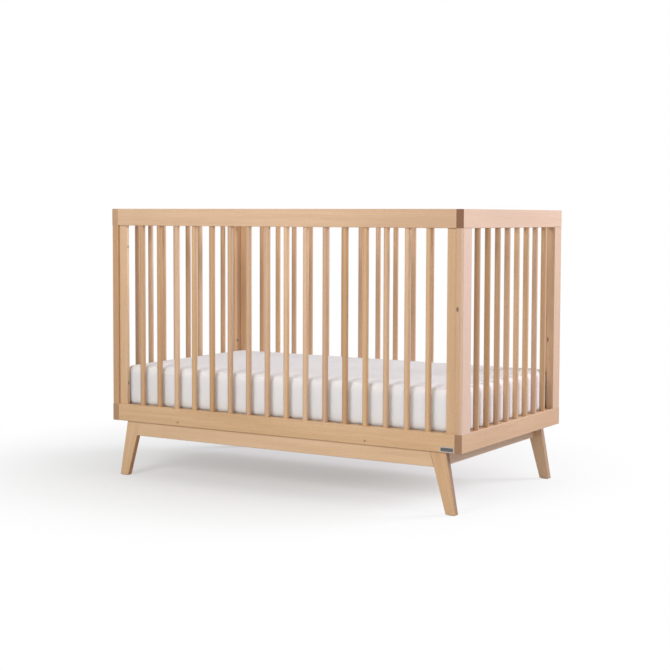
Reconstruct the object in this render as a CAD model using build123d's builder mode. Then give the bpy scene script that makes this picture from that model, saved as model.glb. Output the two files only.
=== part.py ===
from build123d import *
import math
import os

# Overall size: out to out of the end panels, out to out of the long panels, floor to top
overall_length = 1358.9
overall_width = 760.7
overall_height = 932.2

# Rails and stiles of the four panels
rail_height = 58.0
end_thickness = 25.0
end_stile_width = 58.0
side_thickness = 29.0
side_stile_width = 33.0
side_stile_thickness = 14.0
edge_ease = 1.5
stile_tenon_thickness = 8.0
stile_tenon_shoulder = 6.0
stile_tenon_length = 16.0
glue_gap = 0.1

# Round spindles with flat-sided tenons
spindle_diameter = 19.0
side_spindle_count = 16
end_spindle_count = 8
spindle_tenon_side = 11.0
spindle_tenon_length = 14.0

# Base: tapered legs that splay towards the ends, with aprons and cross rails between them
base_height = 193.0
base_set_back = 8.0
base_thickness = 21.0
foot_inset = 23.6
foot_width = 34.0
leg_top_inset = 57.4
leg_top_width = 55.0
apron_height = 49.0
cross_rail_inset = 20.0
base_tenon_thickness = 9.0
base_tenon_margin = 5.0
base_tenon_length = 12.0
leg_tenon_shoulder = 10.0
leg_tenon_length = 14.0
pad_length = 24.0
pad_width = 14.0
pad_height = 2.0

# Socket-head bolts sunk in the side stiles, a pair at each upright corner; hidden shanks have few faces
bolt_diameter = 6.0
bolt_sides = 8
bolt_head_diameter = 8.6
bolt_head_height = 3.3
bolt_head_sink = 0.4
bolt_seat_sides = 16
bolt_socket_width = 4.4
bolt_socket_sides = 6
bolt_socket_depth = 2.0
bolt_hole_gap = 0.2
corner_bolt_spread = 238.0
corner_bolt_depth = 13.0

# Mattress support: a slatted frame that hangs by four hook plates, in three positions
support_step = 100.0
support_positions = 3
support_depth = 38.0
support_side_gap = 5.0
support_rail_thickness = 20.0
support_tenon_thickness = 8.0
support_tenon_margin = 3.0
support_tenon_length = 9.0
slat_count = 12
slat_width = 68.0
slat_thickness = 12.0
hook_below_top = 26.0
hook_thickness = 2.5
hook_length = 70.0
hook_height = 34.0
hook_corner = 3.0
hook_gap = 5.0
seat_gap = 0.3
running_gap = 0.5
rebate_gap = 2.5
neck_diameter = 8.0
neck_sides = 12
support_head_diameter = 14.0
support_head_height = 3.5
support_bolt_depth = 14.0

# Mattress in its fitted cover: crowned top, softly drawn-in sides, round corners and edges
mattress_end_gap = 4.5
mattress_side_gap = 6.0
mattress_thickness = 138.0
mattress_crown = 5.0
mattress_crown_run = 90.0
mattress_corner = 24.0
mattress_least_corner = 5.0
mattress_draw_in = 3.0
mattress_top_round = 18.0
mattress_bottom_round = 18.0
mattress_top_steps = 2
mattress_bottom_steps = 1
mattress_crown_steps = 2

# Places that follow from the sizes above
half_length = overall_length / 2
half_width = overall_width / 2
inner_x = half_length - end_thickness
inner_y = half_width - side_thickness
end_mid = half_length - end_thickness / 2
side_mid = half_width - side_thickness / 2
bottom_rail_top = base_height + rail_height
top_rail_bottom = overall_height - rail_height
opening_height = top_rail_bottom - bottom_rail_top
opening_mid = (top_rail_bottom + bottom_rail_top) / 2
side_stile_inner = inner_x - side_stile_width
side_clear = 2 * side_stile_inner
side_gap = (side_clear - side_spindle_count * spindle_diameter) / (side_spindle_count + 1)
side_pitch = side_gap + spindle_diameter
end_clear = overall_width - 2 * end_stile_width
end_gap = (end_clear - end_spindle_count * spindle_diameter) / (end_spindle_count + 1)
end_pitch = end_gap + spindle_diameter
side_stile_mid = inner_x - side_stile_width / 2
end_stile_mid = half_width - end_stile_width / 2
side_stile_tenon = side_stile_width - 2 * stile_tenon_shoulder
end_stile_tenon = end_stile_width - 2 * stile_tenon_shoulder
bolt_seat = bolt_head_sink + bolt_head_height

apron_bottom = base_height - apron_height
base_outer_y = half_width - base_set_back
base_inner_y = base_outer_y - base_thickness
base_mid = base_outer_y - base_thickness / 2
cross_outer_x = half_length - leg_top_inset - cross_rail_inset
cross_mid = cross_outer_x - base_thickness / 2
base_tenon_height = (apron_height - 3 * base_tenon_margin) / 2
cross_tenon_mid = base_height - base_tenon_margin - base_tenon_height / 2
foot_mid = half_length - foot_inset - foot_width / 2
leg_top_mid = half_length - leg_top_inset - leg_top_width / 2
leg_tenon_width = leg_top_width - 2 * leg_tenon_shoulder

hook_y = (half_width - end_stile_width + inner_y) / 2
hook_z = base_height + rail_height / 2
support_top = hook_z + hook_below_top
support_bottom = support_top - support_depth
hook_outer_x = inner_x - hook_gap
support_outer_x = hook_outer_x - hook_thickness
support_inner_x = support_outer_x - support_rail_thickness
support_outer_y = inner_y - support_side_gap
support_rail_mid = support_outer_y - support_rail_thickness / 2
support_end_mid = support_outer_x - support_rail_thickness / 2
support_mid_height = support_top - support_depth / 2
slat_bottom = support_top - slat_thickness
long_rail_height = slat_bottom - support_bottom
long_rail_mid = (support_bottom + slat_bottom) / 2
support_tenon_height = long_rail_height - 2 * support_tenon_margin
hook_plate_mid = support_outer_y - hook_length / 2
notch_radius = neck_diameter / 2 + seat_gap
neck_length = hook_gap + hook_thickness + running_gap
rebate_depth = support_head_height + running_gap + rebate_gap
rebate_start = hook_y - support_head_diameter / 2 - rebate_gap
slat_pitch = (2 * support_inner_x + slat_width) / (slat_count + 1)

os.makedirs("parts", exist_ok=True)


def save(piece, label):
    piece.part.label = label
    export_step(piece.part, f"parts/{label}.step")


# A leg's two long edges, as distances from the middle of the crib at a height above the floor
def leg_outer_x(height):
    return half_length - foot_inset - (leg_top_inset - foot_inset) * height / base_height


def leg_inner_x(height):
    foot = half_length - foot_inset - foot_width
    top = half_length - leg_top_inset - leg_top_width
    return foot - (foot - top) * height / base_height


# The section of a board with its long edges eased
def eased_section(plane, centre, width, depth):
    with BuildSketch(plane) as section:
        with Locations(centre):
            Rectangle(width, depth)
        chamfer(section.vertices(), edge_ease)
    return section.sketch


# A row of mortises on the face of a rail, for tenons of one width and depth
def mortises(height, centre, steps, counts, tenon_x, tenon_y):
    with BuildSketch(Plane.XY.offset(height)) as row:
        with Locations(centre):
            with GridLocations(*steps, *counts):
                Rectangle(tenon_x + 2 * glue_gap, tenon_y + 2 * glue_gap)
    return row.sketch


# Holes for bolts that run along the crib's length
def bolt_holes(plane_x, places):
    with BuildSketch(Plane.YZ.offset(plane_x)) as holes:
        with Locations(*places):
            RegularPolygon(bolt_diameter / 2 + bolt_hole_gap, bolt_sides)
    return holes.sketch


def end_rail(label, end, bottom, seat, into, bolted):
    with BuildPart() as rail:
        middle = (end * end_mid, bottom + rail_height / 2)
        extrude(eased_section(Plane.XZ, middle, end_thickness, rail_height), amount=half_width, both=True)
        centre = (end * end_mid, 0)
        steps = (0, end_pitch)
        counts = (1, end_spindle_count)
        spindle_seats = mortises(seat, centre, steps, counts, spindle_tenon_side, spindle_tenon_side)
        extrude(spindle_seats, amount=into * (spindle_tenon_length + glue_gap), mode=Mode.SUBTRACT)
        steps = (0, 2 * end_stile_mid)
        stile_seats = mortises(seat, centre, steps, (1, 2), stile_tenon_thickness, end_stile_tenon)
        extrude(stile_seats, amount=into * (stile_tenon_length + glue_gap), mode=Mode.SUBTRACT)
        if bolted:
            places = [(-hook_y, hook_z), (hook_y, hook_z)]
            holes = bolt_holes(end * inner_x, places)
            extrude(holes, amount=end * (support_bolt_depth + bolt_hole_gap), mode=Mode.SUBTRACT)
    save(rail, label)


def end_stile(label, end, side):
    corner_places = []
    for level in (-1, 1):
        corner_places.append((side * side_mid, opening_mid + level * corner_bolt_spread))
    height_places = []
    for position in range(1, support_positions):
        height_places.append((side * hook_y, hook_z + position * support_step))
    with BuildPart() as stile:
        middle = (end * end_mid, side * end_stile_mid)
        foot_plane = Plane.XY.offset(bottom_rail_top)
        extrude(eased_section(foot_plane, middle, end_thickness, end_stile_width), amount=opening_height)
        with BuildSketch(Plane.XY.offset(bottom_rail_top - stile_tenon_length)):
            with Locations(middle):
                Rectangle(stile_tenon_thickness, end_stile_tenon)
        extrude(amount=opening_height + 2 * stile_tenon_length)
        corner_holes = bolt_holes(end * inner_x, corner_places)
        extrude(corner_holes, amount=end * (corner_bolt_depth + bolt_hole_gap), mode=Mode.SUBTRACT)
        height_holes = bolt_holes(end * inner_x, height_places)
        extrude(height_holes, amount=end * (support_bolt_depth + bolt_hole_gap), mode=Mode.SUBTRACT)
    save(stile, label)


def spindle_row(label, centre, steps, counts):
    with BuildPart() as row:
        with BuildSketch(Plane.XY.offset(bottom_rail_top)):
            with Locations(centre):
                with GridLocations(*steps, *counts):
                    Circle(spindle_diameter / 2)
        extrude(amount=opening_height)
        with BuildSketch(Plane.XY.offset(bottom_rail_top - spindle_tenon_length)):
            with Locations(centre):
                with GridLocations(*steps, *counts):
                    Rectangle(spindle_tenon_side, spindle_tenon_side)
        extrude(amount=opening_height + 2 * spindle_tenon_length)
    save(row, label)


def side_rail(label, side, bottom, seat, into, on_legs):
    with BuildPart() as rail:
        middle = (side * side_mid, bottom + rail_height / 2)
        extrude(eased_section(Plane.YZ, middle, side_thickness, rail_height), amount=inner_x, both=True)
        centre = (0, side * side_mid)
        steps = (side_pitch, 0)
        counts = (side_spindle_count, 1)
        spindle_seats = mortises(seat, centre, steps, counts, spindle_tenon_side, spindle_tenon_side)
        extrude(spindle_seats, amount=into * (spindle_tenon_length + glue_gap), mode=Mode.SUBTRACT)
        steps = (2 * side_stile_mid, 0)
        stile_seats = mortises(seat, centre, steps, (2, 1), side_stile_tenon, stile_tenon_thickness)
        extrude(stile_seats, amount=into * (stile_tenon_length + glue_gap), mode=Mode.SUBTRACT)
        if on_legs:
            centre = (0, side * base_mid)
            steps = (2 * leg_top_mid, 0)
            leg_seats = mortises(bottom, centre, steps, (2, 1), leg_tenon_width, base_tenon_thickness)
            extrude(leg_seats, amount=leg_tenon_length + glue_gap, mode=Mode.SUBTRACT)
    save(rail, label)


def side_stile(label, end, side):
    places = []
    for level in (-1, 1):
        places.append((side * side_mid, opening_mid + level * corner_bolt_spread))
    with BuildPart() as stile:
        middle = (end * side_stile_mid, side * side_mid)
        foot_plane = Plane.XY.offset(bottom_rail_top)
        section = eased_section(foot_plane, middle, side_stile_width, side_stile_thickness)
        extrude(section, amount=opening_height)
        with BuildSketch(Plane.XY.offset(bottom_rail_top - stile_tenon_length)):
            with Locations(middle):
                Rectangle(side_stile_tenon, stile_tenon_thickness)
        extrude(amount=opening_height + 2 * stile_tenon_length)
        holes = bolt_holes(end * side_stile_inner, places)
        extrude(holes, amount=end * side_stile_width, mode=Mode.SUBTRACT)
        with BuildSketch(Plane.YZ.offset(end * side_stile_inner)):
            with Locations(*places):
                RegularPolygon(bolt_head_diameter / 2 + bolt_hole_gap, bolt_seat_sides, major_radius=False)
        extrude(amount=end * bolt_seat, mode=Mode.SUBTRACT)
    save(stile, label)


# The stub tenon on an apron's end follows the slant of the leg that it enters
def apron_tenon(end, gap):
    low = apron_bottom + base_tenon_margin - gap
    high = apron_bottom + base_tenon_margin + base_tenon_height + gap
    reach = base_tenon_length + gap
    return [
        (end * (leg_inner_x(low) - gap), low),
        (end * (leg_inner_x(low) + reach), low),
        (end * (leg_inner_x(high) + reach), high),
        (end * (leg_inner_x(high) - gap), high),
    ]


def leg(label, end, side):
    middle_plane = Plane.XZ.offset(-side * base_mid)
    outline = [
        (end * leg_outer_x(pad_height), pad_height),
        (end * leg_outer_x(base_height), base_height),
        (end * leg_inner_x(base_height), base_height),
        (end * leg_inner_x(pad_height), pad_height),
    ]
    with BuildPart() as board:
        with BuildSketch(middle_plane):
            with BuildLine():
                Polyline(*outline, close=True)
            make_face()
        extrude(amount=base_thickness / 2, both=True)
        chamfer(board.edges().sort_by(SortBy.LENGTH)[-4:], edge_ease)
        with BuildSketch(Plane.XY.offset(base_height)):
            with Locations((end * leg_top_mid, side * base_mid)):
                Rectangle(leg_tenon_width, base_tenon_thickness)
        extrude(amount=leg_tenon_length)
        with BuildSketch(middle_plane):
            with BuildLine():
                Polyline(*apron_tenon(end, glue_gap), close=True)
            make_face()
        extrude(amount=base_tenon_thickness / 2 + glue_gap, both=True, mode=Mode.SUBTRACT)
        with BuildSketch(Plane.XZ.offset(-side * base_inner_y)):
            with Locations((end * cross_mid, cross_tenon_mid)):
                Rectangle(base_tenon_thickness + 2 * glue_gap, base_tenon_height + 2 * glue_gap)
        extrude(amount=-side * (base_tenon_length + glue_gap), mode=Mode.SUBTRACT)
    save(board, label)


def apron(label, side):
    middle_plane = Plane.XZ.offset(-side * base_mid)
    outline = []
    for end, height in ((-1, base_height), (1, base_height), (1, apron_bottom), (-1, apron_bottom)):
        outline.append((end * leg_inner_x(height), height))
    with BuildPart() as board:
        with BuildSketch(middle_plane):
            with BuildLine():
                Polyline(*outline, close=True)
            make_face()
        extrude(amount=base_thickness / 2, both=True)
        chamfer(board.edges().filter_by(Axis.X).group_by(Axis.Z)[0], edge_ease)
        for end in (-1, 1):
            with BuildSketch(middle_plane):
                with BuildLine():
                    Polyline(*apron_tenon(end, 0), close=True)
                make_face()
            extrude(amount=base_tenon_thickness / 2, both=True)
    save(board, label)


def cross_rail(label, end):
    with BuildPart() as board:
        middle = (end * cross_mid, base_height - apron_height / 2)
        section = eased_section(Plane.XZ, middle, base_thickness, apron_height)
        extrude(section, amount=base_inner_y, both=True)
        with BuildSketch(Plane.XZ):
            with Locations((end * cross_mid, cross_tenon_mid)):
                Rectangle(base_tenon_thickness, base_tenon_height)
        extrude(amount=base_inner_y + base_tenon_length, both=True)
    save(board, label)


ends = (("left", -1), ("right", 1))
sides = (("front", -1), ("back", 1))

for end_name, end in ends:
    end_rail(f"{end_name}_end_top_rail", end, top_rail_bottom, top_rail_bottom, 1, False)
    end_rail(f"{end_name}_end_bottom_rail", end, base_height, bottom_rail_top, -1, True)
    end_centre = (end * end_mid, 0)
    spindle_row(f"{end_name}_end_spindles", end_centre, (0, end_pitch), (1, end_spindle_count))
    for side_name, side in sides:
        end_stile(f"{end_name}_end_{side_name}_stile", end, side)

for side_name, side in sides:
    side_rail(f"{side_name}_top_rail", side, top_rail_bottom, top_rail_bottom, 1, False)
    side_rail(f"{side_name}_bottom_rail", side, base_height, bottom_rail_top, -1, True)
    side_centre = (0, side * side_mid)
    spindle_row(f"{side_name}_spindles", side_centre, (side_pitch, 0), (side_spindle_count, 1))
    for end_name, end in ends:
        side_stile(f"{side_name}_{end_name}_stile", end, side)
        leg(f"{side_name}_{end_name}_leg", end, side)
    apron(f"{side_name}_apron", side)

for end_name, end in ends:
    cross_rail(f"{end_name}_cross_rail", end)

# Plain plastic pads under the feet
with BuildPart() as foot_pads:
    with BuildSketch(Plane.XY):
        with GridLocations(2 * foot_mid, 2 * base_mid, 2, 2):
            Rectangle(pad_length, pad_width)
    extrude(amount=pad_height)
save(foot_pads, "foot_pads")

# Bolts through the side stiles into the end stiles, two at each corner
with BuildPart() as corner_bolts:
    for end_name, end in ends:
        seat_plane = Plane.YZ.offset(end * (side_stile_inner + bolt_seat))
        with BuildSketch(seat_plane):
            with Locations((0, opening_mid)):
                with GridLocations(2 * side_mid, 2 * corner_bolt_spread, 2, 2):
                    RegularPolygon(bolt_diameter / 2, bolt_sides)
        extrude(amount=end * (side_stile_width - bolt_seat + corner_bolt_depth))
        with BuildSketch(seat_plane):
            with Locations((0, opening_mid)):
                with GridLocations(2 * side_mid, 2 * corner_bolt_spread, 2, 2):
                    Circle(bolt_head_diameter / 2)
        extrude(amount=-end * bolt_head_height)
        with BuildSketch(seat_plane.offset(-end * bolt_head_height)):
            with Locations((0, opening_mid)):
                with GridLocations(2 * side_mid, 2 * corner_bolt_spread, 2, 2):
                    RegularPolygon(bolt_socket_width / 2, bolt_socket_sides)
        extrude(amount=end * bolt_socket_depth, mode=Mode.SUBTRACT)
save(corner_bolts, "corner_bolts")

# Shoulder bolts in the bottom end rails: shank in the wood, neck under the hook plate, head
with BuildPart() as support_bolts:
    for end_name, end in ends:
        with BuildSketch(Plane.YZ.offset(end * inner_x)):
            with Locations((0, hook_z)):
                with GridLocations(2 * hook_y, 0, 2, 1):
                    RegularPolygon(bolt_diameter / 2, bolt_sides)
        extrude(amount=end * support_bolt_depth)
        with BuildSketch(Plane.YZ.offset(end * inner_x)):
            with Locations((0, hook_z)):
                with GridLocations(2 * hook_y, 0, 2, 1):
                    RegularPolygon(neck_diameter / 2, neck_sides)
        extrude(amount=-end * neck_length)
        with BuildSketch(Plane.YZ.offset(end * (inner_x - neck_length))):
            with Locations((0, hook_z)):
                with GridLocations(2 * hook_y, 0, 2, 1):
                    Circle(support_head_diameter / 2)
        extrude(amount=-end * support_head_height)
save(support_bolts, "support_bolts")

# Support frame: long rails carry the slats and are tenoned into the end rails
for side_name, side in sides:
    with BuildPart() as support_rail:
        with BuildSketch(Plane.YZ):
            with Locations((side * support_rail_mid, long_rail_mid)):
                Rectangle(support_rail_thickness, long_rail_height)
        extrude(amount=support_inner_x, both=True)
        with BuildSketch(Plane.YZ):
            with Locations((side * support_rail_mid, long_rail_mid)):
                Rectangle(support_tenon_thickness, support_tenon_height)
        extrude(amount=support_inner_x + support_tenon_length, both=True)
    save(support_rail, f"support_{side_name}_rail")

for end_name, end in ends:
    with BuildPart() as support_rail:
        with BuildSketch(Plane.XZ):
            with Locations((end * support_end_mid, support_mid_height)):
                Rectangle(support_rail_thickness, support_depth)
        extrude(amount=support_outer_y, both=True)
        # The outer face is cut back at both ends to clear the bolt heads
        with BuildSketch(Plane.YZ.offset(end * support_outer_x)):
            with Locations((0, support_mid_height)):
                Rectangle(2 * support_outer_y, support_depth)
                Rectangle(2 * rebate_start, support_depth, mode=Mode.SUBTRACT)
        extrude(amount=-end * rebate_depth, mode=Mode.SUBTRACT)
        with BuildSketch(Plane.YZ.offset(end * support_inner_x)):
            with Locations((0, long_rail_mid)):
                with GridLocations(2 * support_rail_mid, 0, 2, 1):
                    Rectangle(support_tenon_thickness + 2 * glue_gap, support_tenon_height + 2 * glue_gap)
        extrude(amount=end * (support_tenon_length + glue_gap), mode=Mode.SUBTRACT)
    save(support_rail, f"support_{end_name}_rail")

with BuildPart() as support_slats:
    with BuildSketch(Plane.XY.offset(slat_bottom)):
        with GridLocations(slat_pitch, 0, slat_count, 1):
            Rectangle(slat_width, 2 * support_outer_y)
    extrude(amount=slat_thickness)
save(support_slats, "support_slats")

# Steel hook plates on the end rails; each drops over a bolt's neck by a notch open at the bottom
with BuildPart() as hook_plates:
    for end_name, end in ends:
        for side_name, side in sides:
            with BuildSketch(Plane.YZ.offset(end * support_outer_x)) as plate:
                with Locations((side * hook_plate_mid, support_bottom + hook_height / 2)):
                    Rectangle(hook_length, hook_height)
                chamfer(plate.vertices(), hook_corner)
                with Locations((side * hook_y, hook_z)):
                    Circle(notch_radius, mode=Mode.SUBTRACT)
                with Locations((side * hook_y, (hook_z + support_bottom) / 2)):
                    Rectangle(2 * notch_radius, hook_z - support_bottom, mode=Mode.SUBTRACT)
            extrude(amount=end * hook_thickness)
save(hook_plates, "hook_plates")

# Mattress: plan outlines from the flat bottom, round the edges and over the crown
mattress_length = 2 * (inner_x - mattress_end_gap)
mattress_width = 2 * (inner_y - mattress_side_gap)
mattress_bottom = support_top + seat_gap
mattress_top = mattress_bottom + mattress_thickness


def mattress_outline(inset, height):
    reach_x = mattress_length / 2 - inset
    reach_y = mattress_width / 2 - inset
    corner = max(mattress_corner - inset, mattress_least_corner)
    cut = corner * (1 - math.cos(math.pi / 4))
    run_x = reach_x - corner
    run_y = reach_y - corner
    with BuildSketch(Plane.XY.offset(height)) as outline:
        with BuildLine():
            for turn in (1, -1):
                corner_a = (turn * (reach_x - cut), turn * (reach_y - cut))
                corner_b = (-turn * (reach_x - cut), turn * (reach_y - cut))
                end_middle = (turn * (reach_x - mattress_draw_in), 0)
                side_middle = (0, turn * (reach_y - mattress_draw_in))
                ThreePointArc((turn * reach_x, -turn * run_y), end_middle, (turn * reach_x, turn * run_y))
                ThreePointArc((turn * reach_x, turn * run_y), corner_a, (turn * run_x, turn * reach_y))
                ThreePointArc((turn * run_x, turn * reach_y), side_middle, (-turn * run_x, turn * reach_y))
                ThreePointArc((-turn * run_x, turn * reach_y), corner_b, (-turn * reach_x, turn * run_y))
        make_face()
    return outline.sketch


mattress_outlines = []
for step in range(mattress_bottom_steps + 1):
    angle = math.pi / 2 * step / mattress_bottom_steps
    inset = mattress_bottom_round * (1 - math.sin(angle))
    height = mattress_bottom + mattress_bottom_round * (1 - math.cos(angle))
    mattress_outlines.append(mattress_outline(inset, height))
for step in range(mattress_top_steps + 1):
    angle = math.pi / 2 * step / mattress_top_steps
    inset = mattress_top_round * (1 - math.cos(angle))
    height = mattress_top - mattress_top_round * (1 - math.sin(angle))
    mattress_outlines.append(mattress_outline(inset, height))
for step in range(1, mattress_crown_steps + 1):
    share = step / mattress_crown_steps
    inset = mattress_top_round + mattress_crown_run * share
    height = mattress_top + mattress_crown * (1 - (1 - share) ** 2)
    mattress_outlines.append(mattress_outline(inset, height))

with BuildPart() as mattress:
    loft(mattress_outlines, ruled=True)
save(mattress, "mattress")
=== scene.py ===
import bpy
import bmesh
import math
import random
from mathutils import Matrix, Vector, noise


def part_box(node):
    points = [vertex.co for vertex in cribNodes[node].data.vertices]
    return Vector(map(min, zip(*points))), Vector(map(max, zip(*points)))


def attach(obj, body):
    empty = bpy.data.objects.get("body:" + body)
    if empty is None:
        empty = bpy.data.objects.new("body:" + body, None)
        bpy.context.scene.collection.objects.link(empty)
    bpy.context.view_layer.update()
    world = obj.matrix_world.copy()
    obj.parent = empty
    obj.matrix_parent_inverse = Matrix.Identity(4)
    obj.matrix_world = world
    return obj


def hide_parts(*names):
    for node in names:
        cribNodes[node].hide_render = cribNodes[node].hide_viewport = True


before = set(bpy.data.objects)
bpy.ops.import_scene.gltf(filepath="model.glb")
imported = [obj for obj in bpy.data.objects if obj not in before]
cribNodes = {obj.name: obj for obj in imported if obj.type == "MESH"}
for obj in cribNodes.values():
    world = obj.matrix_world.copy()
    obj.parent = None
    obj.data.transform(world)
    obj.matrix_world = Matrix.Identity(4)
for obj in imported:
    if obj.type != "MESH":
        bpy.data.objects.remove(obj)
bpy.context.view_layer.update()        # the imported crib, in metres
scene = bpy.context.scene
print("frame loaded:", len(cribNodes), "nodes")


def srgb(red, green, blue):        # screen values 0-255 to linear colour
    linear = []
    for value in (red, green, blue):
        share = value / 255
        linear.append(share / 12.92 if share <= 0.04045 else ((share + 0.055) / 1.055) ** 2.4)
    return (*linear, 1.0)


# node helpers
def addNode(tree, kind, **settings):
    node = tree.nodes.new("ShaderNode" + kind)
    for name, value in settings.items():
        setattr(node, name, value)
    return node


def feed(tree, socket, source):        # a link, or a plain value
    if isinstance(source, bpy.types.NodeSocket):
        tree.links.new(source, socket)
    else:
        socket.default_value = source


def sums(tree, operation, first, second=0.0):
    node = addNode(tree, "Math", operation=operation)
    feed(tree, node.inputs[0], first)
    feed(tree, node.inputs[1], second)
    return node.outputs[0]


def vectorSums(tree, operation, first, second):
    node = addNode(tree, "VectorMath", operation=operation)
    feed(tree, node.inputs[0], first)
    feed(tree, node.inputs[1], second)
    return node.outputs["Value"] if operation == "DISTANCE" else node.outputs[0]


def splitVector(tree, vector):
    node = addNode(tree, "SeparateXYZ")
    tree.links.new(vector, node.inputs[0])
    return node.outputs


def band(tree, value, low, high, outLow=0.0, outHigh=1.0):        # eased map range
    node = addNode(tree, "MapRange", interpolation_type="SMOOTHSTEP")
    for socket, source in zip(node.inputs, (value, low, high, outLow, outHigh)):
        feed(tree, socket, source)
    return node.outputs[0]


def mixColour(tree, share, first, second, blend="MIX"):
    node = addNode(tree, "Mix", data_type="RGBA", blend_type=blend)
    feed(tree, node.inputs[0], share)
    feed(tree, node.inputs[6], first)
    feed(tree, node.inputs[7], second)
    return node.outputs[2]


def noiseTexture(tree, vector, scale, detail=2.0):
    node = addNode(tree, "TexNoise")
    feed(tree, node.inputs["Vector"], vector)
    feed(tree, node.inputs["Scale"], scale)
    feed(tree, node.inputs["Detail"], detail)
    return node.outputs["Fac"]


def newGroup(name, inputs, outputs):
    tree = bpy.data.node_groups.new(name, "ShaderNodeTree")
    for side, sockets in (("INPUT", inputs), ("OUTPUT", outputs)):
        for socket, kind in sockets.items():
            tree.interface.new_socket(socket, in_out=side, socket_type="NodeSocket" + kind)
    return tree, tree.nodes.new("NodeGroupInput").outputs, tree.nodes.new("NodeGroupOutput").inputs


def useGroup(tree, group, **inputs):
    node = tree.nodes.new("ShaderNodeGroup")
    node.node_tree = group
    for name, source in inputs.items():
        feed(tree, node.inputs[name], source)
    return node.outputs


def newMaterial(name):
    material = bpy.data.materials.new(name)
    material.use_nodes = True
    tree = material.node_tree
    tree.nodes.clear()
    shader = addNode(tree, "BsdfPrincipled")
    output = addNode(tree, "OutputMaterial")
    tree.links.new(shader.outputs[0], output.inputs["Surface"])
    return material, tree, shader


def addBump(tree, shader, height, strength, distance):
    bump = addNode(tree, "Bump")
    feed(tree, bump.inputs["Strength"], strength)
    feed(tree, bump.inputs["Distance"], distance)
    feed(tree, bump.inputs["Height"], height)
    tree.links.new(bump.outputs[0], shader.inputs["Normal"])


def ownCoords(tree):        # a piece's own coordinates, which ride with its body
    return addNode(tree, "TexCoord").outputs["Object"]


def paint(node, material):        # a CAD node's own slots
    slots = cribNodes[node].data.materials
    slots.clear()
    slots.append(material)


# camera at the photograph's viewing angle
cameraView = {
    "place": (2.5543, -4.1996, 0.9086),
    "yaw": 0.5467,
    "pitch": 0.0595,
    "roll": 0.0037,
    "imageSize": 670,
    "focalPixels": 1416.7,
    "opticalHeight": 300.75,
    "sensor": 36.0,
}


def placeCamera():
    size = cameraView["imageSize"]
    data = bpy.data.cameras.new("cribCamera")
    data.sensor_width = cameraView["sensor"]
    data.lens = cameraView["focalPixels"] / size * cameraView["sensor"]
    data.shift_y = cameraView["opticalHeight"] / size - 0.5
    camera = bpy.data.objects.new("cribCamera", data)
    scene.collection.objects.link(camera)
    turn = Matrix.Rotation(cameraView["yaw"], 4, "Z")
    tilt = Matrix.Rotation(math.pi / 2 - cameraView["pitch"], 4, "X")
    roll = Matrix.Rotation(cameraView["roll"], 4, "Z")
    camera.matrix_world = Matrix.Translation(cameraView["place"]) @ turn @ tilt @ roll
    scene.camera = camera


placeCamera()
print("camera placed")

# studio: white world, pale floor, soft lamps
studio = {
    "worldLevel": 0.35,
    "floorColour": (0.82, 0.82, 0.82, 1.0),
    "floorBounce": (0.58, 0.58, 0.58, 1.0),
    "floorTint": 0.02,
    "floorCloud": 3.0,
    "floorRoughness": 0.9,
    "floorGloss": 0.1,
    "floorRadius": 6.0,
    "floorGlow": 0.40,
    "fadeMiddle": (-0.3, 0.1, 0.0),
    "fadeStart": 0.3,
    "fadeEnd": 1.45,
    "white": (1.0, 1.0, 1.0),
    "cool": (1.0, 0.98, 1.12),
    "lamps": (
        # name, place, aim, width, height, watts, tint
        ("endSoftbox", (4.665, 4.75, 3.4), (0.68, 0.0, 0.55), 3.0, 1.8, 412.0, "cool"),
        ("keySoftbox", (2.4, -0.6, 2.6), (0.6, 0.0, 0.6), 1.4, 1.4, 8.0, "white"),
        ("viewSoftbox", (3.0, -4.4, 2.0), (0.2, -0.2, 0.5), 1.2, 1.0, 36.5, "white"),
        ("frontSoftbox", (-0.1, -3.4, 1.97), (0.0, -0.38, 0.5), 1.15, 0.95, 55.0, "white"),
        ("topSoftbox", (0.0, 0.2, 3.4), (0.0, 0.0, 0.4), 2.4, 1.6, 9.0, "white"),
    ),
}


def raysThatSee(tree):        # camera, mirror and glass rays
    path = addNode(tree, "LightPath")
    shown = sums(tree, "MAXIMUM", path.outputs["Is Camera Ray"], path.outputs["Is Glossy Ray"])
    return sums(tree, "MAXIMUM", shown, path.outputs["Is Transmission Ray"])


def mixShaders(tree, share, first, second, output):
    mix = addNode(tree, "MixShader")
    feed(tree, mix.inputs[0], share)
    tree.links.new(first.outputs[0], mix.inputs[1])
    tree.links.new(second.outputs[0], mix.inputs[2])
    tree.links.new(mix.outputs[0], output.inputs["Surface"])


def makeWorld():
    world = bpy.data.worlds.new("studioWorld")
    world.use_nodes = True
    tree = world.node_tree
    tree.nodes.clear()
    light = addNode(tree, "Background")
    feed(tree, light.inputs["Color"], (1.0, 1.0, 1.0, 1.0))
    feed(tree, light.inputs["Strength"], studio["worldLevel"])
    seen = addNode(tree, "Background")
    feed(tree, seen.inputs["Color"], (1.0, 1.0, 1.0, 1.0))
    feed(tree, seen.inputs["Strength"], 1.0)
    mixShaders(tree, raysThatSee(tree), light, seen, addNode(tree, "OutputWorld"))
    scene.world = world


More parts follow.
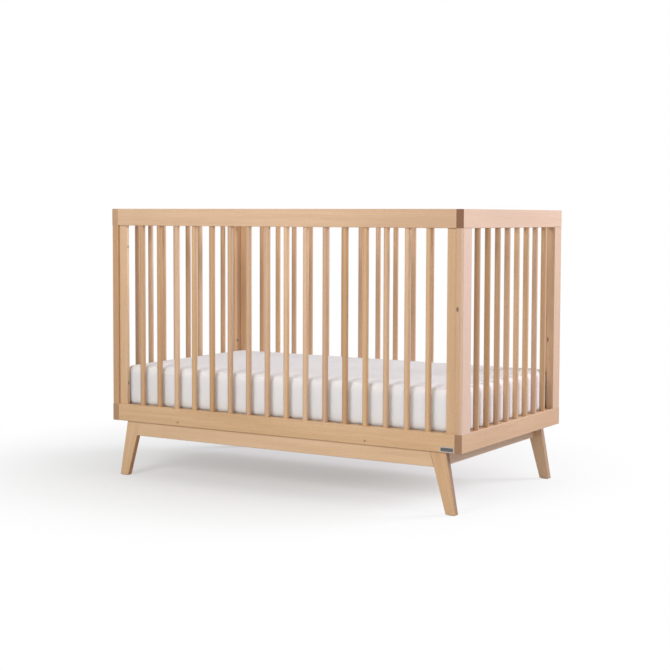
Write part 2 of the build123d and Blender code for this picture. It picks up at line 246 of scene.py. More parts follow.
def floorMaterial():        # pale, glowing out to the white of the background
    material, tree, shader = newMaterial("paleFloor")
    coords = ownCoords(tree)
    cloud = noiseTexture(tree, coords, studio["floorCloud"])
    tint = band(tree, cloud, 0.2, 0.8, 1.0 - studio["floorTint"], 1.0)
    shown = raysThatSee(tree)
    colour = mixColour(tree, shown, studio["floorBounce"], studio["floorColour"])
    tree.links.new(mixColour(tree, 1.0, colour, tint, "MULTIPLY"), shader.inputs["Base Color"])
    feed(tree, shader.inputs["Roughness"], studio["floorRoughness"])
    feed(tree, shader.inputs["Specular IOR Level"], studio["floorGloss"])
    white = addNode(tree, "Emission")
    feed(tree, white.inputs["Color"], (1.0, 1.0, 1.0, 1.0))
    feed(tree, white.inputs["Strength"], 1.0)
    # painted light: the glow is least around fadeMiddle, under the crib, and rises outwards, so it
    # lightens the crib's own shadow on the floor
    away = vectorSums(tree, "DISTANCE", coords, studio["fadeMiddle"])
    glow = band(tree, away, studio["fadeStart"], studio["fadeEnd"], studio["floorGlow"], 1.0)
    share = sums(tree, "MULTIPLY", glow, shown)
    output = next(node for node in tree.nodes if node.type == "OUTPUT_MATERIAL")
    mixShaders(tree, share, shader, white, output)
    return material


def makeFloor():
    mesh = bmesh.new()
    bmesh.ops.create_circle(mesh, cap_ends=True, radius=studio["floorRadius"], segments=96)
    data = bpy.data.meshes.new("floor")
    mesh.to_mesh(data)
    mesh.free()
    data.materials.append(floorMaterial())
    floor = bpy.data.objects.new("floor", data)
    scene.collection.objects.link(floor)


def makeLamps():
    for name, place, aim, width, height, watts, tint in studio["lamps"]:
        data = bpy.data.lights.new(name, "AREA")
        data.shape = "RECTANGLE"
        data.size = width
        data.size_y = height
        data.energy = watts
        data.color = studio[tint]
        lamp = bpy.data.objects.new(name, data)
        scene.collection.objects.link(lamp)
        lamp.location = place
        lamp.rotation_euler = (Vector(aim) - Vector(place)).to_track_quat("-Z", "Y").to_euler()


makeWorld()
makeFloor()
makeLamps()
scene.view_settings.view_transform = "Standard"
print("studio set")

# natural beech under a thin satin lacquer
beech = {
    "pale": srgb(224, 188, 148),
    "middle": srgb(207, 167, 122),
    "deep": srgb(188, 145, 98),
    "blush": srgb(214, 183, 161),
    "fleck": srgb(148, 99, 62),
    "endGrain": srgb(124, 76, 38),
    "endPore": srgb(94, 61, 38),
    "knot": srgb(96, 58, 34),
    "ringSpacing": 0.0048,
    "ringWander": 0.022,
    "lateWood": 0.16,        # how far each part of the grain moves the tone
    "streaks": 0.75,
    "clouds": 0.7,
    "fleckShare": 0.5,
    "fibreShade": (0.93, 1.03),
    "pores": 1500.0,
    "poreShare": 0.6,
    "endRings": 0.4,
    "roughness": (0.58, 0.48),
    "endRoughness": 0.2,
    "gloss": 0.9,
    "coat": 0.05,
    "coatRoughness": 0.3,
    "bump": 0.3,
    "bumpDepth": 0.0003,
    "seed": 11,
}


def grainNoise(tree, vector, along, across, detail=2.0):        # noise drawn out along the grain
    return noiseTexture(tree, vectorSums(tree, "MULTIPLY", vector, (along, across, across)), 1.0, detail)


def beechGroup():
    tree, given, result = newGroup(
        "beechGrain",
        {"Grain": "Vector", "End": "Float", "Tone": "Float", "Blush": "Float"},
        {"Colour": "Color", "Roughness": "Float", "Height": "Float"})
    grain = given["Grain"]

    # growth rings about an axis that lies along the board
    wander = sums(tree, "SUBTRACT", grainNoise(tree, grain, 1.1, 5.0), 0.5)
    across = vectorSums(tree, "MULTIPLY", grain, (0.0, 1.0, 1.0))
    radius = vectorSums(tree, "DISTANCE", across, (0.0, 0.0, 0.0))
    radius = sums(tree, "ADD", radius, sums(tree, "MULTIPLY", wander, beech["ringWander"]))
    year = sums(tree, "FRACT", sums(tree, "DIVIDE", radius, beech["ringSpacing"]))
    lateWood = sums(tree, "MULTIPLY", band(tree, year, 0.35, 0.9), band(tree, year, 0.93, 1.0, 1.0, 0.0))

    # streaks, fibres and the short ray flecks of beech
    streaks = grainNoise(tree, grain, 2.0, 55.0, 3.0)
    cloud = grainNoise(tree, grain, 1.6, 9.0)
    fibres = grainNoise(tree, grain, 16.0, 850.0)
    flecks = band(tree, grainNoise(tree, grain, 300.0, 2300.0, 0.0), 0.66, 0.74)

    tone = sums(tree, "MULTIPLY", sums(tree, "SUBTRACT", streaks, 0.5), beech["streaks"])
    cloudTone = sums(tree, "MULTIPLY", sums(tree, "SUBTRACT", cloud, 0.5), beech["clouds"])
    tone = sums(tree, "ADD", tone, cloudTone)
    tone = sums(tree, "SUBTRACT", tone, sums(tree, "MULTIPLY", lateWood, beech["lateWood"]))
    tone = sums(tree, "ADD", tone, given["Tone"])
    ramp = addNode(tree, "ValToRGB")
    tree.links.new(sums(tree, "ADD", tone, 0.55), ramp.inputs[0])
    stops = ramp.color_ramp.elements
    stops[0].color = beech["deep"]
    stops[1].color = beech["pale"]
    stops.new(0.5).color = beech["middle"]
    colour = mixColour(tree, given["Blush"], ramp.outputs[0], beech["blush"])
    fibreShade = band(tree, fibres, 0.25, 0.75, *beech["fibreShade"])
    colour = mixColour(tree, 1.0, colour, fibreShade, "MULTIPLY")
    colour = mixColour(tree, sums(tree, "MULTIPLY", flecks, beech["fleckShare"]), colour, beech["fleck"])

    # sawn ends: darker, with pores and the rings cut across
    poreMask = band(tree, noiseTexture(tree, across, beech["pores"]), 0.55, 0.7, 0.0, beech["poreShare"])
    endColour = mixColour(tree, poreMask, beech["endGrain"], beech["endPore"])
    endRings = sums(tree, "MULTIPLY", lateWood, beech["endRings"])
    endColour = mixColour(tree, endRings, endColour, beech["endPore"])
    tree.links.new(mixColour(tree, given["End"], colour, endColour), result["Colour"])

    rough = band(tree, fibres, 0.2, 0.8, *beech["roughness"])
    rough = sums(tree, "ADD", rough, sums(tree, "MULTIPLY", given["End"], beech["endRoughness"]))
    tree.links.new(rough, result["Roughness"])
    height = sums(tree, "SUBTRACT", fibres, sums(tree, "MULTIPLY", flecks, 0.6))
    height = sums(tree, "SUBTRACT", height, sums(tree, "MULTIPLY", lateWood, 0.25))
    tree.links.new(height, result["Height"])
    return tree


def boardGroup():        # grain laid along a board, sawn ends found from the normal
    tree, given, result = newGroup(
        "beechBoard",
        {"Turn": "Vector", "Shift": "Vector", "Stick": "Vector", "Luck": "Vector",
         "Tone": "Float", "Blush": "Float", "Sawn": "Float"},
        {"Colour": "Color", "Roughness": "Float", "Height": "Float"})
    coords = addNode(tree, "TexCoord")
    place = vectorSums(tree, "ADD", coords.outputs["Object"], given["Stick"])
    mapping = addNode(tree, "Mapping")
    feed(tree, mapping.inputs["Vector"], place)
    feed(tree, mapping.inputs["Location"], given["Shift"])
    feed(tree, mapping.inputs["Rotation"], given["Turn"])
    grain = vectorSums(tree, "ADD", mapping.outputs[0], given["Luck"])
    turned = addNode(tree, "Mapping", vector_type="VECTOR")
    feed(tree, turned.inputs["Vector"], coords.outputs["Normal"])
    feed(tree, turned.inputs["Rotation"], given["Turn"])
    facing = sums(tree, "ABSOLUTE", splitVector(tree, turned.outputs[0])[0])
    sawn = sums(tree, "MULTIPLY", band(tree, facing, 0.86, 0.96), given["Sawn"])
    wood = useGroup(tree, beechGrain, Grain=grain, End=sawn, Tone=given["Tone"], Blush=given["Blush"])
    for name in ("Colour", "Roughness", "Height"):
        tree.links.new(wood[name], result[name])
    return tree


beechGrain = beechGroup()
beechBoard = boardGroup()
grainTurns = ((0.0, 0.0, 0.0), (0.0, 0.0, -math.pi / 2), (0.0, math.pi / 2, 0.0))        # X, Y, Z onto X
boardLuck = random.Random(beech["seed"])


def boardPlace(name, axis, lean):        # turn and shift that lay the grain along the board
    low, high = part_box(name)
    turn = Vector(grainTurns[axis]) + Vector((0.0, lean, 0.0))
    rotation = Matrix.Rotation(turn.z, 3, "Z") @ Matrix.Rotation(turn.y, 3, "Y")
    pith = Vector([boardLuck.uniform(*spread) for spread in boards["pith"]])
    return turn, rotation, pith, (low + high) / 2


def woodShader(wood, tree, shader, colour):
    tree.links.new(colour, shader.inputs["Base Color"])
    tree.links.new(wood["Roughness"], shader.inputs["Roughness"])
    feed(tree, shader.inputs["Specular IOR Level"], beech["gloss"])
    feed(tree, shader.inputs["Coat Weight"], beech["coat"])
    feed(tree, shader.inputs["Coat Roughness"], beech["coatRoughness"])
    addBump(tree, shader, wood["Height"], beech["bump"], beech["bumpDepth"])


def boardMaterial(name, axis, tone, blush, lean=0.0):
    material, tree, shader = newMaterial(name + "Beech")
    turn, rotation, pith, centre = boardPlace(name, axis, lean)
    if name in boards["paintedFalloff"]:        # painted shade: the tone darkens towards one end, where less light falls
        along = splitVector(tree, ownCoords(tree))[axis]
        tone = band(tree, along, 0.0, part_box(name)[1][axis], tone, tone + boards["paintedFalloff"][name])
    if name in boards["litFaceSheen"]:        # painted sheen: paler, pinker wood towards the lit outer face
        outward = splitVector(tree, ownCoords(tree))[0]
        blush = band(tree, outward, centre.x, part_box(name)[1].x, blush, boards["litFaceSheen"][name])
    wood = useGroup(tree, beechBoard, Turn=turn, Shift=pith - rotation @ centre, Tone=tone, Blush=blush,
                    Sawn=boards["sawn"].get(name, boards["sawnShare"]))
    colour = wood["Colour"]
    for knot, radius in boards["knots"].get(name, ()):        # pin knots, drawn out along the grain
        stretch = Vector((1.0, 1.0, 1.0))
        stretch[axis] = boards["knotStretch"]
        away = vectorSums(tree, "MULTIPLY", vectorSums(tree, "SUBTRACT", ownCoords(tree), knot), stretch)
        away = vectorSums(tree, "DISTANCE", away, (0.0, 0.0, 0.0))
        colour = mixColour(tree, band(tree, away, radius / 4, radius, 1.0, 0.0), colour, beech["knot"])
    if name in boards["edges"]:        # painted shade: the legs' narrow sides, which lie in shade under the crib, are darkened
        normal = addNode(tree, "TexCoord").outputs["Normal"]
        facing = band(tree, sums(tree, "ABSOLUTE", splitVector(tree, normal)[0]), 0.8, 0.95)
        colour = mixColour(tree, facing, colour, boards["edges"][name], "MULTIPLY")
    woodShader(wood, tree, shader, colour)
    return material


def rowMaterial(name, axis, row, tone, blush):        # each stick of a row has its own grain and tone
    material, tree, shader = newMaterial(name + "Beech")
    turn, rotation, pith, centre = boardPlace(name, axis, 0.0)
    rowAxis, first, pitch = row
    centre[rowAxis] = 0.0
    place = splitVector(tree, ownCoords(tree))[rowAxis]
    count = sums(tree, "ROUND", sums(tree, "DIVIDE", sums(tree, "SUBTRACT", place, first), pitch))
    chance = addNode(tree, "TexWhiteNoise", noise_dimensions="1D")
    tree.links.new(sums(tree, "ADD", count, boardLuck.uniform(3.0, 90.0)), chance.inputs["W"])
    stick = addNode(tree, "CombineXYZ")
    middle = sums(tree, "ADD", sums(tree, "MULTIPLY", count, pitch), first)
    tree.links.new(sums(tree, "MULTIPLY", middle, -1.0), stick.inputs[rowAxis])
    luck = vectorSums(tree, "MULTIPLY", chance.outputs["Color"], boards["stickLuck"])
    darkest, palest = boards["stickTones"]
    stickTone = band(tree, chance.outputs["Value"], 0.0, 1.0, tone + darkest, tone + palest)
    stickBlush = band(tree, splitVector(tree, chance.outputs["Color"])[1], 0.2, 0.9, 0.0, 2 * blush)
    wood = useGroup(tree, beechBoard, Turn=turn, Shift=pith - rotation @ centre, Stick=stick.outputs[0],
                    Luck=luck, Tone=stickTone, Blush=stickBlush, Sawn=1.0)
    woodShader(wood, tree, shader, wood["Colour"])
    return material


boards = {
    "rows": {"front_spindles": 16, "back_spindles": 16, "left_end_spindles": 8, "right_end_spindles": 8},
    "slats": 12,
    "slatWidth": 0.068,
    "legLean": math.radians(12.9),
    "pith": ((-9, 9), (-0.05, 0.05), (0.05, 0.12)),        # where a board lay in its tree
    "stickLuck": (7.0, 0.12, -0.1),
    "stickTones": (-0.45, 0.4),
    "knotStretch": 0.55,
    "knots": {
        # place and radius
        "front_bottom_rail": (((-0.3962, -0.3804, 0.2052), 0.0034), ((0.3412, -0.3804, 0.2052), 0.0034)),
        "right_end_front_stile": (((0.6609, -0.3804, 0.6306), 0.0062),),
        "right_end_back_stile": (((0.6573, 0.3223, 0.4891), 0.0062),),
    },
    # tone and blush of the boards by the part of the name that they share; some paint light and shade:
    # the paler top rails, cross rails and back right leg paint light that falls on them, the blush of
    # the end top rails paints the pale sheen of their lit faces, and the darker back spindles and front
    # right stile paint shade
    "tones": (("left_end_front", -0.4, 0.1), ("left_end_", 0.0, 0.15), ("_end_spindles", -0.15, 0.2),
              ("_end_bottom", -0.3, 0.15), ("_end_top", -0.35, 0.5), ("right_end_back", -0.35, 0.2),
              ("_end_", -0.5, 0.2), ("back_spindles", -0.45, 0.15), ("_spindles", -0.28, 0.15),
              ("_top_rail", 0.1, 0.25), ("_bottom_rail", -0.05, 0.0), ("_apron", 0.22, 0.1),
              ("back_right_leg", 0.5, 0.0), ("front_right_leg", -0.15, 0.0), ("_leg", 0.15, 0.0),
              ("_cross_rail", 0.5, 0.4), ("front_right_stile", -0.2, 0.1), ("front_left", 0.3, 0.1),
              ("support_", 0.15, 0.03), ("", 0.0, 0.15)),
    "paintedFalloff": {"front_top_rail": -0.75, "right_end_bottom_rail": -0.2},        # painted shade: tone at the far end, where less light falls
    "litFaceSheen": {"right_end_front_stile": 0.85, "right_end_back_stile": 0.45},        # painted sheen: blush on the lit outer face
    # share of the end-grain colour on sawn ends, first of single boards and then of all others
    "sawn": {"left_end_top_rail": 0.33, "left_end_bottom_rail": 0.5, "right_end_bottom_rail": 0.72,
             "right_end_top_rail": 1.0},
    "sawnShare": 0.8,
    # painted shade: colour that the legs' narrow sides are multiplied by, for the shade they lie in
    # under the crib
    "edges": {"front_left_leg": (0.84, 0.58, 0.38, 1.0), "back_left_leg": (0.84, 0.58, 0.38, 1.0),
              "front_right_leg": (0.47, 0.38, 0.36, 1.0), "back_right_leg": (0.46, 0.36, 0.31, 1.0)},
    "toneSpread": 0.12,
    "notWood": ("corner_bolts", "support_bolts", "hook_plates", "foot_pads", "mattress"),
}


def longestAxis(name):
    low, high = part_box(name)
    sides = high - low
    return max(range(3), key=lambda axis: sides[axis])


def stickRow(name, count):        # row axis, first middle and pitch of round sticks
    low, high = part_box(name)
    sides = high - low
    axis = 0 if sides.x > sides.y else 1
    pitch = (sides[axis] - sides[1 - axis]) / (count - 1)
    return axis, low[axis] + sides[1 - axis] / 2, pitch


def slatRow(name, count):
    low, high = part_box(name)
    pitch = (high.x - low.x - boards["slatWidth"]) / (count - 1)
    return 0, low.x + boards["slatWidth"] / 2, pitch


def finishWood():
    for name in sorted(cribNodes):
        if name in boards["notWood"]:
            continue
        tone, blush = next(entry[1:] for entry in boards["tones"] if entry[0] in name)
        tone += boardLuck.uniform(-1, 1) * boards["toneSpread"]
        if name in boards["rows"]:
            material = rowMaterial(name, 2, stickRow(name, boards["rows"][name]), tone, blush)
        elif name == "support_slats":
            material = rowMaterial(name, 1, slatRow(name, boards["slats"]), tone, blush)
        elif name.endswith("_leg"):
            lean = boards["legLean"] if "_right_" in name else -boards["legLean"]
            material = boardMaterial(name, 2, tone, blush, lean=lean)
        else:
            material = boardMaterial(name, longestAxis(name), tone, blush)
        paint(name, material)


finishWood()
print("wood finished")

# metal and foot pads
metals = {
    "boltSteel": {"colour": srgb(150, 148, 143), "roughness": (0.3, 0.45), "grain": 900.0},
    "zincSteel": {"colour": srgb(176, 176, 172), "roughness": (0.28, 0.42), "grain": 700.0},
    "plateSteel": {"colour": srgb(196, 195, 191), "roughness": (0.25, 0.45), "grain": 2200.0},
}
enamel = {
    "colour": srgb(84, 82, 80),
    "worn": srgb(104, 102, 99),
    "speck": 1400.0,
    "roughness": (0.35, 0.5),
}
pads = {
    "colour": srgb(170, 158, 142),
    "fibre": 1800.0,
    "shade": (0.75, 1.05),
    "roughness": 0.95,
}


def metalMaterial(name, stretch=(1.0, 1.0, 1.0)):
    settings = metals[name]
    material, tree, shader = newMaterial(name)
    coords = vectorSums(tree, "MULTIPLY", ownCoords(tree), stretch)
    brushed = noiseTexture(tree, coords, settings["grain"])
    shade = band(tree, brushed, 0.25, 0.75, 0.88, 1.0)
    colour = mixColour(tree, 1.0, settings["colour"], shade, "MULTIPLY")
    tree.links.new(colour, shader.inputs["Base Color"])
    tree.links.new(band(tree, brushed, 0.2, 0.8, *settings["roughness"]), shader.inputs["Roughness"])
    feed(tree, shader.inputs["Metallic"], 1.0)
    addBump(tree, shader, brushed, 0.15, 0.00005)
    return material


def enamelMaterial():
    material, tree, shader = newMaterial("darkEnamel")
    speck = noiseTexture(tree, ownCoords(tree), enamel["speck"])
    wear = band(tree, speck, 0.35, 0.75)
    tree.links.new(mixColour(tree, wear, enamel["colour"], enamel["worn"]), shader.inputs["Base Color"])
    tree.links.new(band(tree, speck, 0.2, 0.8, *enamel["roughness"]), shader.inputs["Roughness"])
    addBump(tree, shader, speck, 0.1, 0.00003)
    return material


def padMaterial():
    material, tree, shader = newMaterial("feltPad")
    felt = noiseTexture(tree, ownCoords(tree), pads["fibre"])
    shade = band(tree, felt, 0.3, 0.7, *pads["shade"])
    tree.links.new(mixColour(tree, 1.0, pads["colour"], shade, "MULTIPLY"), shader.inputs["Base Color"])
    feed(tree, shader.inputs["Roughness"], pads["roughness"])
    addBump(tree, shader, felt, 0.5, 0.0004)
    return material


boltSteel = metalMaterial("boltSteel")
zincSteel = metalMaterial("zincSteel")
plateSteel = metalMaterial("plateSteel", (0.02, 1.0, 1.0))
paint("corner_bolts", boltSteel)
paint("support_bolts", zincSteel)
paint("hook_plates", zincSteel)
paint("foot_pads", padMaterial())
print("metal finished")


def makePiece(name, mesh, material, body, smooth=True):        # bmesh to a piece that rides on a body
    for face in mesh.faces:
        face.smooth = smooth
    data = bpy.data.meshes.new(name)
    mesh.to_mesh(data)
    mesh.free()
    data.materials.append(material)
    piece = bpy.data.objects.new(name, data)
    scene.collection.objects.link(piece)
    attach(piece, body)
    return piece


# mattress in a plain white fitted cover
mattress = {
    "bulge": (0.0005, 0.0045),        # cover past the solid at the ends and the sides
    "sink": 0.0025,
    "crown": 0.005,
    "corner": 0.022,
    "topRound": 0.018,
    "bottomRound": 0.006,
    "voxel": 0.0100,
    "pressure": 4.0,
    "frames": 20,
    "cap": 0.005,
    "lump": 0.0007,
    "lumpSize": 0.11,
    "gather": 0.0012,
    "gatherCount": 64,
    "gatherFall": 1.4,        # how fast the gathers die out upwards
    "cover": srgb(236, 236, 237),
    "coverShade": srgb(226, 226, 228),
    "thread": 0.0011,
    "weaveShade": 0.18,
    "weaveBump": 0.35,
    "slub": 900.0,
    "softPatch": 7.0,
    "roughness": 0.88,
    "gloss": 0.2,
    "sheen": 0.12,
    "sheenRoughness": 0.45,
    "bleedShare": 0.8,
    "bleed": 0.03,
}


def coverMaterial():
    material, tree, shader = newMaterial("cottonCover")
    coords = addNode(tree, "TexCoord")
    waves = []
    for place in splitVector(tree, coords.outputs["Object"])[:3]:
        waves.append(sums(tree, "SINE", sums(tree, "MULTIPLY", place, 2 * math.pi / mattress["thread"])))
    facing = splitVector(tree, coords.outputs["Normal"])
    weave = 0.0
    for axis in range(3):        # plain weave on the two axes that lie in the face
        share = sums(tree, "POWER", sums(tree, "ABSOLUTE", facing[axis]), 4.0)
        crossing = sums(tree, "MULTIPLY", waves[axis - 1], waves[axis - 2])
        weave = sums(tree, "ADD", sums(tree, "MULTIPLY", crossing, share), weave)
    slub = noiseTexture(tree, coords.outputs["Object"], mattress["slub"])
    soft = noiseTexture(tree, coords.outputs["Object"], mattress["softPatch"])
    threads = sums(tree, "MULTIPLY", weave, mattress["weaveShade"])
    shade = sums(tree, "ADD", threads, band(tree, soft, 0.3, 0.7, 0.1, 0.5))
    colour = mixColour(tree, shade, mattress["cover"], mattress["coverShade"])
    tree.links.new(colour, shader.inputs["Base Color"])
    feed(tree, shader.inputs["Roughness"], mattress["roughness"])
    feed(tree, shader.inputs["Specular IOR Level"], mattress["gloss"])
    feed(tree, shader.inputs["Sheen Weight"], mattress["sheen"])
    feed(tree, shader.inputs["Sheen Roughness"], mattress["sheenRoughness"])
    feed(tree, shader.inputs["Subsurface Weight"], mattress["bleedShare"])
    feed(tree, shader.inputs["Subsurface Radius"], (1.0, 1.0, 1.0))
    feed(tree, shader.inputs["Subsurface Scale"], mattress["bleed"])
    height = sums(tree, "ADD", sums(tree, "MULTIPLY", weave, mattress["weaveBump"]), slub)
    addBump(tree, shader, height, 0.25, 0.0004)
    return material


def mattressForm():
    low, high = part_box("mattress")
    bulgeX, bulgeY = mattress["bulge"]
    size = high - low + Vector((2 * bulgeX, 2 * bulgeY, -mattress["crown"] - mattress["sink"]))
    middle = Vector((0.0, 0.0, low.z + size.z / 2))
    mesh = bmesh.new()
    bmesh.ops.create_cube(mesh, size=1.0)
    bmesh.ops.scale(mesh, vec=size, verts=mesh.verts)
    bmesh.ops.translate(mesh, vec=middle, verts=mesh.verts)
    upright = [e for e in mesh.edges if abs(e.verts[0].co.z - e.verts[1].co.z) > size.z / 2]
    bmesh.ops.bevel(mesh, geom=upright, offset=mattress["corner"], segments=8, profile=0.5,
                    affect="EDGES", material=-1)
    rounds = ((middle.z + size.z / 2, mattress["topRound"]), (low.z, mattress["bottomRound"]))
    for level, offset in rounds:
        rim = [e for e in mesh.edges if all(abs(v.co.z - level) < 1e-5 for v in e.verts)]
        bmesh.ops.bevel(mesh, geom=rim, offset=offset, segments=5, profile=0.5,
                        affect="EDGES", material=-1)
    data = bpy.data.meshes.new("mattressForm")
    mesh.to_mesh(data)
    mesh.free()
    form = bpy.data.objects.new("mattressForm", data)
    scene.collection.objects.link(form)
    remesh = form.modifiers.new("remesh", "REMESH")
    remesh.mode = "VOXEL"
    remesh.voxel_size = mattress["voxel"]
    return form


def bakeModifiers(piece):        # the evaluated mesh takes the place of the live one
    graph = bpy.context.evaluated_depsgraph_get()
    done = bpy.data.meshes.new_from_object(piece.evaluated_get(graph))
    piece.modifiers.clear()
    piece.data = done


def swell(piece):        # cloth blown up from inside over a foam core that lets no point move in
    cloth = piece.modifiers.new("cloth", "CLOTH")
    cloth.settings.use_pressure = True
    cloth.settings.uniform_pressure_force = mattress["pressure"]
    cloth.settings.effector_weights.gravity = 0.0
    cloth.point_cache.frame_start = 1
    cloth.point_cache.frame_end = mattress["frames"]
    start = [(vertex.co.copy(), vertex.normal.copy()) for vertex in piece.data.vertices]
    for step in range(1, mattress["frames"] + 1):
        scene.frame_set(step)
    bakeModifiers(piece)
    scene.frame_set(1)
    for vertex, (rest, normal) in zip(piece.data.vertices, start):
        move = vertex.co - rest
        move -= normal * min(0.0, move.dot(normal))
        if move.length > mattress["cap"]:
            move = move.normalized() * mattress["cap"]
        vertex.co = rest + move


def softenCover(piece):        # low lumps, gathers at the lower corners, flat underside
    low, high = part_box("mattress")
    runX = high.x - mattress["corner"]
    runY = high.y - mattress["corner"]
    normals = [vertex.normal.copy() for vertex in piece.data.vertices]
    for vertex, normal in zip(piece.data.vertices, normals):
        point = vertex.co.copy()
        lump = noise.noise(point / mattress["lumpSize"]) * mattress["lump"]
        outX = abs(point.x) - runX
        outY = abs(point.y) - runY
        fold = 0.0
        if outX > 0 and outY > 0:
            turn = math.atan2(outY, outX)
            share = max(0.0, 1.0 - (point.z - low.z) / (high.z - low.z) * mattress["gatherFall"])
            fold = math.sin(turn * mattress["gatherCount"]) * mattress["gather"]
            fold = fold * share * math.sin(2 * turn)
        vertex.co = point + normal * (lump + fold)
        vertex.co.z = max(vertex.co.z, low.z)
    piece.data.update()


def makeMattress():
    form = mattressForm()
    bakeModifiers(form)
    swell(form)
    softenCover(form)
    smooth = form.modifiers.new("smooth", "SUBSURF")
    smooth.levels = 1
    smooth.render_levels = 1
    form.name = "fitted_mattress"
    form.data.name = "fitted_mattress"
    form.data.materials.clear()
    form.data.materials.append(coverMaterial())
    for face in form.data.polygons:
        face.use_smooth = True
    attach(form, "mattress")
    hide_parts("mattress")


makeMattress()
print("mattress made")

# small zinc fasteners
fasteners = {
    "sides": 20,
    "taper": 0.88,
    "armWidth": 0.17,        # cross slot, as shares of the head's radius
    "armLength": 0.62,
    "slatHead": {"diameter": 0.0076, "height": 0.00022, "depth": 0.00014},
    "hookHead": {"diameter": 0.009, "height": 0.0018, "depth": 0.0009},
    "hookPlaces": (0.034, 0.058),        # in from the outer end of a hook plate
    "insertSteps": (0.1, 0.2),        # the two higher positions of the support
    "insertBore": 0.0032,
    "insertRadius": 0.0062,
    "insertRise": 0.0008,
    "insertEdge": 0.0003,
    "seed": 5,
}


def screwHead(settings):        # cross-slot head standing on the XY plane
    radius = settings["diameter"] / 2
    wide = radius * fasteners["armWidth"]
    long = radius * fasteners["armLength"]
    mesh = bmesh.new()
    bmesh.ops.create_cone(mesh, cap_ends=True, segments=fasteners["sides"], radius1=radius,
                          radius2=radius * fasteners["taper"], depth=settings["height"])
    bmesh.ops.translate(mesh, vec=(0.0, 0.0, settings["height"] / 2), verts=mesh.verts)
    for normal in (Vector((1.0, 0.0, 0.0)), Vector((0.0, 1.0, 0.0))):
        for place in (-long, -wide, wide, long):
            bmesh.ops.bisect_plane(mesh, geom=mesh.verts[:] + mesh.edges[:] + mesh.faces[:],
                                   plane_co=normal * place, plane_no=normal)
    slot = []
    for face in mesh.faces:
        middle = face.calc_center_median()
        near, far = sorted((abs(middle.x), abs(middle.y)))
        if middle.z > settings["height"] * 0.99 and near < wide and far < long:
            slot.append(face)
    bmesh.ops.inset_region(mesh, faces=slot, thickness=wide / 4, depth=-settings["depth"])
    return mesh


def insertRing():        # flange of a threaded insert, standing on the XY plane
    inner = fasteners["insertBore"]
    outer = fasteners["insertRadius"]
    rise = fasteners["insertRise"]
    edge = fasteners["insertEdge"]
    outline = ((inner, 0.0), (outer, 0.0), (outer, rise - edge), (outer - edge, rise),
               (inner + edge, rise), (inner, rise - edge))
    mesh = bmesh.new()
    points = [mesh.verts.new((across, 0.0, up)) for across, up in outline]
    sides = [mesh.edges.new((points[step - 1], points[step])) for step in range(len(points))]
    bmesh.ops.spin(mesh, geom=points + sides, cent=(0.0, 0.0, 0.0), axis=(0.0, 0.0, 1.0),
                   angle=2 * math.pi, steps=fasteners["sides"], use_merge=True)
    bmesh.ops.remove_doubles(mesh, verts=mesh.verts, dist=1e-6)
    bmesh.ops.recalc_face_normals(mesh, faces=mesh.faces)
    return mesh


def copyFastener(name, pattern, places, body):        # the pattern at each place, as one piece
    data = bpy.data.meshes.new(name)
    pattern.to_mesh(data)
    pattern.free()
    mesh = bmesh.new()
    for place in places:
        start = len(mesh.verts)
        mesh.from_mesh(data)
        mesh.verts.ensure_lookup_table()
        bmesh.ops.transform(mesh, matrix=place, verts=mesh.verts[start:])
    bpy.data.meshes.remove(data)
    piece = makePiece(name, mesh, zincSteel, body, smooth=False)


def makeFasteners():
    luck = random.Random(fasteners["seed"])

    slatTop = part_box("support_slats")[1].z
    first, pitch = slatRow("support_slats", boards["slats"])[1:]
    places = []
    for rail in ("support_front_rail", "support_back_rail"):
        low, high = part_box(rail)
        for step in range(boards["slats"]):
            place = Matrix.Translation((first + step * pitch, (low.y + high.y) / 2, slatTop))
            places.append(place @ Matrix.Rotation(luck.uniform(0, math.pi), 4, "Z"))
    copyFastener("slat_screws", screwHead(fasteners["slatHead"]), places, "mattress_support")

    low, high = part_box("hook_plates")
    places = []
    for end in (-1, 1):
        for side in (-1, 1):
            for inward in fasteners["hookPlaces"]:
                y = side * (high.y - inward)
                place = Matrix.Translation((end * high.x, y, (low.z + high.z) / 2))
                turn = Matrix.Rotation(luck.uniform(0, math.pi), 4, "Z")
                places.append(place @ Matrix.Rotation(end * math.pi / 2, 4, "Y") @ turn)
    copyFastener("hook_screws", screwHead(fasteners["hookHead"]), places, "mattress_support")

    low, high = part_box("support_bolts")
    boltY = high.y - (high.z - low.z) / 2
    boltZ = (low.z + high.z) / 2
    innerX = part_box("right_end_front_stile")[0].x
    places = []
    for end in (-1, 1):
        for side in (-1, 1):
            for step in fasteners["insertSteps"]:
                place = Matrix.Translation((end * innerX, side * boltY, boltZ + step))
                places.append(place @ Matrix.Rotation(-end * math.pi / 2, 4, "Y"))
    copyFastener("height_inserts", insertRing(), places, "crib_frame")


makeFasteners()
print("fasteners made")

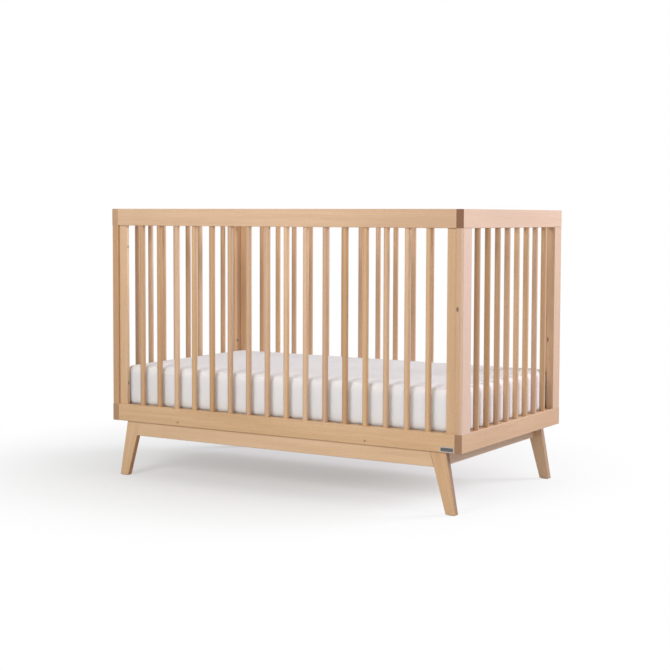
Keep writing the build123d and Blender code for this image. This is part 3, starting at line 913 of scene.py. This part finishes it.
# bare plate with an enamel panel at the right end of the front bottom rail
railPlate = {
    "length": 0.047,
    "height": 0.0155,
    "thickness": 0.0009,
    "fromEnd": 0.002,
    "fromBottom": 0.002,
    "corner": 0.0016,
    "rim": 0.0018,
    "dish": 0.0003,
    "panelGap": 0.0001,
    "panelRise": 0.0002,
}


def plateSlab(length, thickness, height, corner):        # thin upright slab with rounded corners
    mesh = bmesh.new()
    bmesh.ops.create_cube(mesh, size=1.0)
    bmesh.ops.scale(mesh, vec=(length, thickness, height), verts=mesh.verts)
    across = [e for e in mesh.edges if abs(e.verts[0].co.y - e.verts[1].co.y) > thickness / 2]
    bmesh.ops.bevel(mesh, geom=across, offset=corner, segments=4, profile=0.5,
                    affect="EDGES", material=-1)
    return mesh


def makeRailPlate():
    low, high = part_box("front_bottom_rail")
    thickness = railPlate["thickness"]
    x = high.x - railPlate["fromEnd"] - railPlate["length"] / 2
    z = low.z + railPlate["fromBottom"] + railPlate["height"] / 2

    mesh = plateSlab(railPlate["length"], thickness, railPlate["height"], railPlate["corner"])
    face = min(mesh.faces, key=lambda f: f.calc_center_median().y)
    bmesh.ops.inset_region(mesh, faces=[face], thickness=railPlate["rim"], depth=0.0)
    bmesh.ops.inset_region(mesh, faces=[face], thickness=railPlate["dish"], depth=-railPlate["dish"])
    bmesh.ops.translate(mesh, vec=(x, low.y - thickness / 2, z), verts=mesh.verts)
    plate = makePiece("rail_plate", mesh, plateSteel, "crib_frame", smooth=False)

    # the panel stands on the floor of the dish
    margin = 2 * (railPlate["rim"] + railPlate["dish"] + railPlate["panelGap"])
    mesh = plateSlab(railPlate["length"] - margin, railPlate["panelRise"],
                     railPlate["height"] - margin, railPlate["corner"] / 2)
    floor = low.y - thickness + railPlate["dish"]
    bmesh.ops.translate(mesh, vec=(x, floor - railPlate["panelRise"] / 2, z), verts=mesh.verts)
    panel = makePiece("plate_panel", mesh, enamelMaterial(), "crib_frame", smooth=False)


makeRailPlate()
print("rail plate made")
